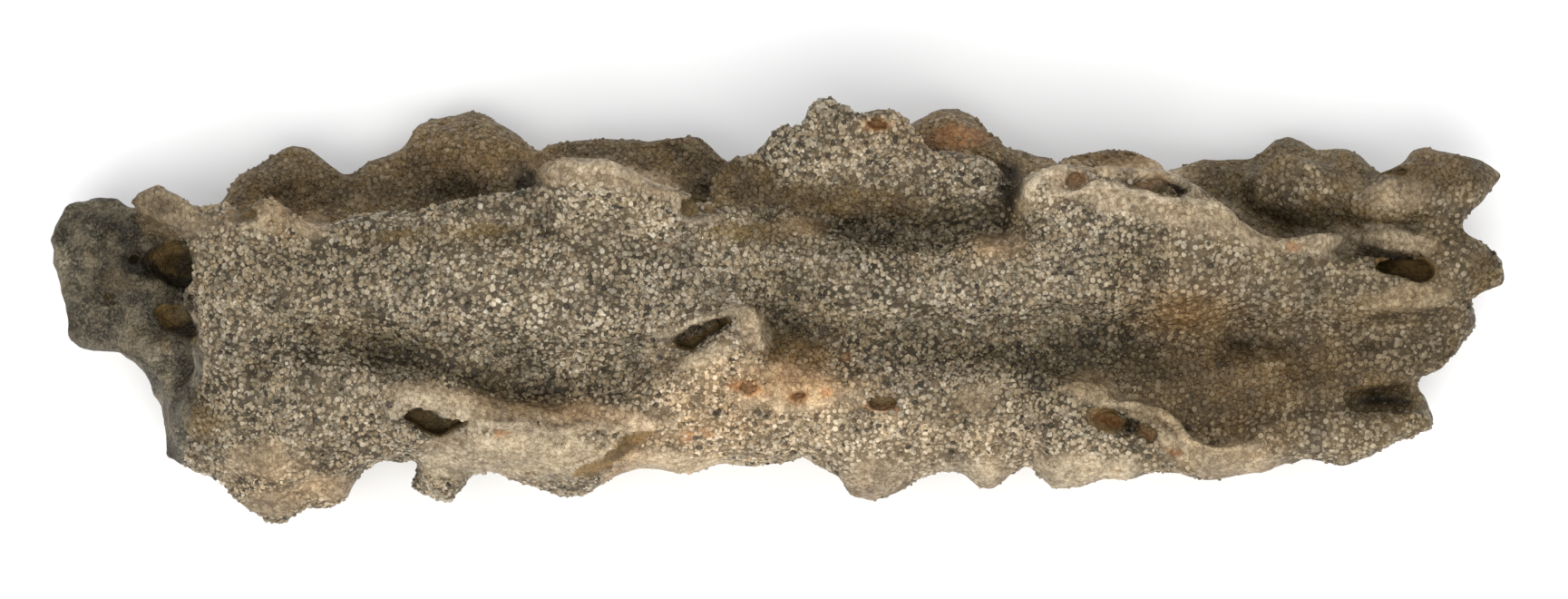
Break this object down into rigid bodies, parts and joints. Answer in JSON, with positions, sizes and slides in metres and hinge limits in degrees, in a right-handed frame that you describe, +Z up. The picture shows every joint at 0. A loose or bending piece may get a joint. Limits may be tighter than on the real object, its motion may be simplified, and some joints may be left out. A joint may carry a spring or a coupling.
{
  "type": "fulgurite",
  "caption": "Hollow, folded tube of sand fused by lightning, lying on its side, with flared wings, rounded back lobes, mouths and slits along it, and one broken glassy end.",
  "frame": {"origin": "on the floor, under the middle of the piece as it lies", "axes": "+X along the tube from its broken glassy end to its other end, +Z up as it rests"},
  "size_m": [0.0804, 0.0236, 0.0127],
  "materials": {
    "sandy_glass": "rough crust of half-melted sand outside, smooth glossy glass in the hollows"
  },
  "bodies": {
    "root": {"fulgurite": "sandy_glass"}
  },
  "joints": []
}
